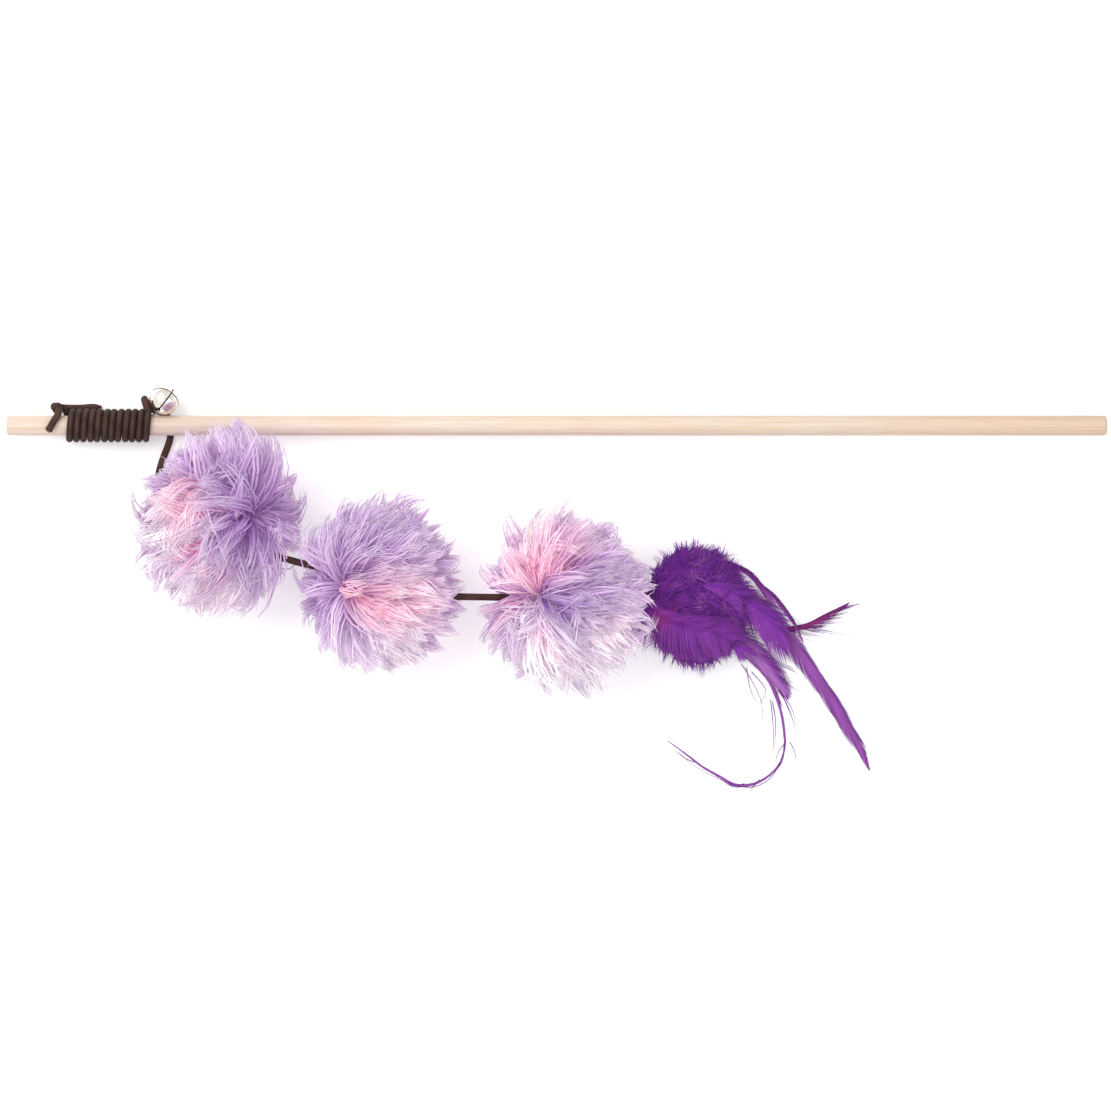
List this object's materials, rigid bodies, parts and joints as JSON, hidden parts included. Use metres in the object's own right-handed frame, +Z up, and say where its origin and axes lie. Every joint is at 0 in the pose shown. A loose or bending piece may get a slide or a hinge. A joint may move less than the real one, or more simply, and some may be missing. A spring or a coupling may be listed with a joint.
{
  "type": "cat teaser wand",
  "caption": "Wooden wand with a cord wound round its tip, a jingle bell on the cord's loop, fur pompoms strung on the cord and a tuft of dyed feathers at its end.",
  "frame": {"origin": "centre of the laid-out toy's box, on the table that it lies on", "axes": "+X along the dowel towards the grip end, +Z up from the table"},
  "size_m": [0.44, 0.1604, 0.061],
  "materials": {
    "dowel": "fine straight grain, sanded, unvarnished",
    "cord": "braided polyester sheath over elastic",
    "bell": "nickel plated sheet steel, polished",
    "clapper": "plain steel ball",
    "fur": "long pile faux fur, lavender with pink and white streaks",
    "backing": "knitted backing",
    "stuffing": "polyester wadding",
    "thread": "twisted sewing thread",
    "whipping": "waxed thread",
    "plume": "dyed marabou down",
    "hackle": "dyed hackle feather"
  },
  "bodies": {
    "stick": {"wand_dowel": "dowel", "cord_winding": "cord", "bell_loop": "cord", "return_strand": "cord", "start_knot": "cord", "cord_tail": "cord"},
    "bell": {"bell_shell": "bell", "bell_eyelet": "bell"},
    "clapper": {"bell_clapper": "clapper"},
    "string_1": {"cord_leg_1": "cord", "pompom_1_fur": "fur", "pompom_1_backing": "backing", "pompom_1_stuffing": "stuffing", "pompom_1_gather": "thread"},
    "string_2": {"cord_knot_1": "cord", "cord_leg_2": "cord", "pompom_2_fur": "fur", "pompom_2_backing": "backing", "pompom_2_stuffing": "stuffing", "pompom_2_gather": "thread"},
    "string_3": {"cord_knot_2": "cord", "cord_leg_3": "cord", "pompom_3_fur": "fur", "pompom_3_backing": "backing", "pompom_3_stuffing": "stuffing", "pompom_3_gather": "thread"},
    "tuft": {"tuft_knot": "cord", "tuft_whipping": "whipping", "plume_upper": "plume", "plume_lower": "plume", "hackle_a": "hackle", "hackle_b": "hackle", "hackle_c": "hackle", "hackle_d": "hackle", "hackle_curl": "hackle"}
  },
  "joints": [
    {"name": "bell_swing", "type": "hinge", "parent": "stick", "child": "bell", "pos_m": [-0.16127, 0.07029, 0.0037], "axis": [0.8513, -0.26, -0.4557], "range_deg": [-30, 1]},
    {"name": "clapper_slide", "type": "slide", "parent": "bell", "child": "clapper", "axis": [0.5243, 0.4557, 0.7193], "range_m": [0, 0.0068]},
    {"name": "string_1_swing", "type": "hinge", "parent": "stick", "child": "string_1", "pos_m": [-0.15464, 0.06116, 0.0014], "axis": [0, 0, 1], "range_deg": [-45, 10]},
    {"name": "string_2_swing", "type": "hinge", "parent": "string_1", "child": "string_2", "pos_m": [-0.11433, 0.01249, 0.03], "axis": [0, 0, -1], "range_deg": [-12, 20]},
    {"name": "string_3_swing", "type": "hinge", "parent": "string_2", "child": "string_3", "pos_m": [-0.04853, -0.00416, 0.03], "axis": [0, 0, 1], "range_deg": [-20, 20]},
    {"name": "tuft_swing", "type": "hinge", "parent": "string_3", "child": "tuft", "pos_m": [0.02513, -0.00639, 0.02213], "axis": [0, 0, -1], "range_deg": [-20, 20]}
  ]
}
